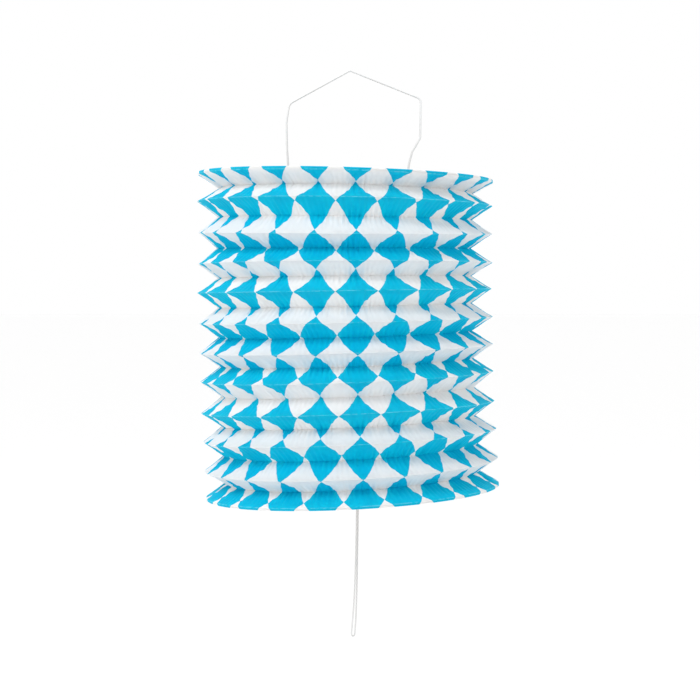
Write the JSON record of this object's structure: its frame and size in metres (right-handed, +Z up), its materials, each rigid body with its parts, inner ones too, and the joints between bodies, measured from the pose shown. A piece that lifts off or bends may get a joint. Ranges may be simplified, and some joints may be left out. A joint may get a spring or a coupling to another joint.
{
  "type": "accordion paper lantern",
  "caption": "Pleated paper tube lantern between a card ring and a card disc, on a swinging wire bail, with a tin candle holder inside and a thin pull loop below.",
  "frame": {"origin": "middle of the wire at the top of the bail, where a hook takes it", "axes": "+Z up, +X to the right in front view along the bail's plane, -Y towards the viewer"},
  "size_m": [0.1642, 0.16, 0.3103],
  "materials": {
    "painted_wire": "satin",
    "grey_board": "matte",
    "printed_paper": "matte",
    "tinplate": "satin",
    "white_cord": "matte"
  },
  "bodies": {
    "handle": {"handle_wire": "painted_wire"},
    "top": {"top_ring": "grey_board", "paper_bellows": "printed_paper"},
    "base": {"bottom_disc": "grey_board", "candle_holder": "tinplate", "pull_loop": "white_cord", "pull_loop_knot": "white_cord"}
  },
  "joints": [
    {"name": "handle_swing", "type": "hinge", "parent": "handle", "child": "top", "pos_m": [-0.00255, 0, -0.0597], "axis": [0.9996, 0, -0.0279], "range_deg": [-60, 60]},
    {"name": "fold", "type": "slide", "parent": "top", "child": "base", "axis": [-0.0229, 0, 0.9997], "range_m": [-0.04, 0.15], "stiffness_N_per_m": 6, "springref_m": 0.0114, "deforming": ["paper_bellows"]}
  ]
}
